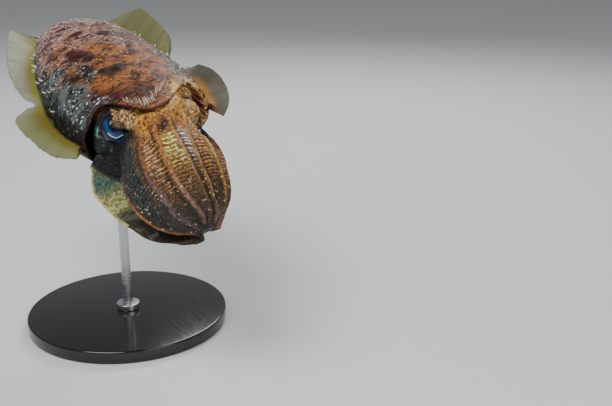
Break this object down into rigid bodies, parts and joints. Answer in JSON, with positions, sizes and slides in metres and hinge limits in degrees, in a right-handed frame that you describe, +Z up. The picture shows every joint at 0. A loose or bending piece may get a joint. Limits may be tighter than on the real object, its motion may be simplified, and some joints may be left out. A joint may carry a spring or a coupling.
{
  "type": "cuttlefish model",
  "caption": "Life-size still model of a hovering cuttlefish, head down with waving fins and drooping arms, on a plain round stand.",
  "frame": {"origin": "centre of the stand foot's underside", "axes": "+Z up; the animal faces -Y, head down by 12 degrees and banked 13 degrees with its left side up; its left side is towards +X"},
  "size_m": [0.19, 0.3454, 0.2878],
  "materials": {
    "mantle_skin": "moist mottled skin, purple-brown with gold streaks",
    "fin_membrane": "thin pale translucent fin, modelled opaque",
    "arm_skin": "moist golden-brown skin with reddish ridges",
    "eye": "wet blue-black eye with a W-shaped pupil",
    "stand_black": "black acrylic",
    "stand_steel": "brushed steel rod"
  },
  "bodies": {
    "root": {"mantle": "mantle_skin", "head": "mantle_skin", "funnel": "mantle_skin", "fin_left": "fin_membrane", "fin_right": "fin_membrane", "eye_left": "eye", "eye_right": "eye", "stand_foot": "stand_black", "stand_rod": "stand_steel", "arm_1_left_root": "arm_skin", "arm_1_left_tip": "arm_skin", "arm_1_right_root": "arm_skin", "arm_1_right_tip": "arm_skin", "arm_2_left_root": "arm_skin", "arm_2_left_tip": "arm_skin", "arm_2_right_root": "arm_skin", "arm_2_right_tip": "arm_skin", "arm_3_left_root": "arm_skin", "arm_3_left_tip": "arm_skin", "arm_3_right_root": "arm_skin", "arm_3_right_tip": "arm_skin", "arm_4_left_root": "arm_skin", "arm_4_left_tip": "arm_skin", "arm_4_right_root": "arm_skin", "arm_4_right_tip": "arm_skin"}
  },
  "joints": []
}
